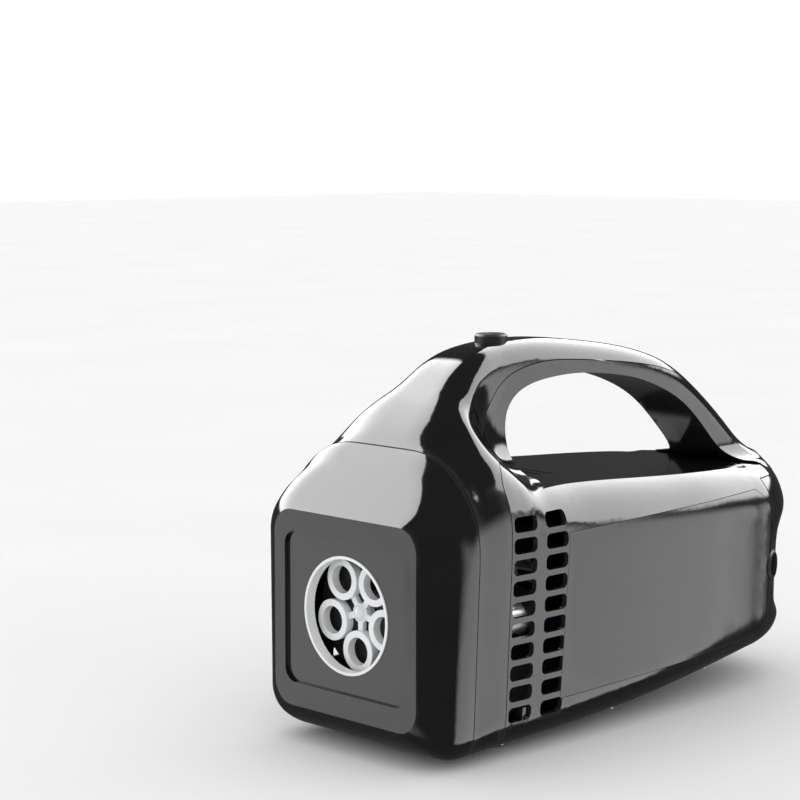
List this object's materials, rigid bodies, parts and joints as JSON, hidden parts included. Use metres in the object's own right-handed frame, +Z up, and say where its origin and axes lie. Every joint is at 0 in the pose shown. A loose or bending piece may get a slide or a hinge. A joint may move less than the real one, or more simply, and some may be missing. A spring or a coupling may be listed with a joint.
{
  "type": "bubble machine",
  "caption": "Hand-held bubble machine: rounded shell with a carrying handle, a ringed wand wheel in a round front outlet, side vents, a top button and a charging socket.",
  "frame": {"origin": "on the ground, under the middle of the body's length and width", "axes": "+Z up; the outlet faces -Y; +X is the side with the charging socket"},
  "size_m": [0.1024, 0.2364, 0.1508],
  "materials": {
    "black_gloss": "glossy, near black",
    "black_satin": "satin, near black",
    "white_plastic": "glossy white",
    "dark_plastic": "plain dark moulding",
    "nylon": "natural nylon",
    "steel": "zinc-plated steel",
    "motor_can": "drawn steel can",
    "tank_plastic": "milky moulded plastic",
    "silicone": "soft silicone",
    "cell_wrap": "plain shrink wrap",
    "brass": "plain strip",
    "board": "green board",
    "rubber": "soft black rubber"
  },
  "bodies": {
    "housing": {"front_cover": "black_gloss", "hood_spine": "black_gloss", "main_housing": "black_gloss", "rear_cover": "black_gloss", "side_panel_right": "black_gloss", "side_panel_left": "black_gloss", "bottom_cover": "black_satin", "outlet_collar": "white_plastic", "splash_guard": "dark_plastic", "air_nozzle": "dark_plastic", "gear_pins": "steel", "shaft_bush": "nylon", "gearbox_front_plate": "dark_plastic", "gearbox_rear_plate": "dark_plastic", "gearbox_posts": "dark_plastic", "gearbox_screws": "steel", "wheel_motor": "motor_can", "blower_housing": "dark_plastic", "blower_cover": "dark_plastic", "fan_motor": "motor_can", "liquid_tank": "tank_plastic", "tank_lid": "tank_plastic", "tank_seal": "silicone", "drain_plug": "silicone", "battery_holder": "dark_plastic", "battery_cell_1": "cell_wrap", "battery_cell_2": "cell_wrap", "battery_contacts": "brass", "control_board": "board", "board_components": "black_satin", "charge_jack": "black_satin", "jack_pin": "steel", "power_switch": "black_satin", "switch_board": "board", "bottom_screws": "steel", "rubber_feet": "rubber"},
    "wheel": {"wand_wheel": "white_plastic", "wheel_shaft": "steel", "wheel_gear": "nylon"},
    "gear_a": {"compound_gear_a": "nylon"},
    "gear_b": {"compound_gear_b": "nylon"},
    "pinion": {"motor_pinion": "nylon", "wheel_motor_shaft": "steel"},
    "fan": {"fan_impeller": "nylon", "fan_shaft": "steel"},
    "button": {"power_button": "black_satin"}
  },
  "joints": [
    {"name": "wheel_spin", "type": "hinge", "parent": "housing", "child": "wheel", "pos_m": [0, -0.09425, 0.0523], "axis": [0, 1, 0], "continuous": true},
    {"name": "gear_a_spin", "type": "hinge", "parent": "housing", "child": "gear_a", "pos_m": [0.01351, -0.09225, 0.0445], "axis": [0, 1, 0], "continuous": true},
    {"name": "gear_b_spin", "type": "hinge", "parent": "housing", "child": "gear_b", "pos_m": [0.01926, -0.08925, 0.05446], "axis": [0, 1, 0], "continuous": true},
    {"name": "pinion_spin", "type": "hinge", "parent": "housing", "child": "pinion", "pos_m": [0.02922, -0.08525, 0.04871], "axis": [0, 1, 0], "continuous": true},
    {"name": "fan_spin", "type": "hinge", "parent": "housing", "child": "fan", "pos_m": [0, -0.03425, 0.0567], "axis": [1, 0, 0], "continuous": true},
    {"name": "button_press", "type": "slide", "parent": "housing", "child": "button", "axis": [0, 0, -1], "range_m": [0, 0.0015], "stiffness_N_per_m": 500, "springref_m": -0.001}
  ],
  "couplings": [
    {"joint": "gear_a_spin", "follows": "wheel_spin", "ratio": -3.3333},
    {"joint": "gear_b_spin", "follows": "wheel_spin", "ratio": 12},
    {"joint": "pinion_spin", "follows": "wheel_spin", "ratio": -43.2}
  ]
}
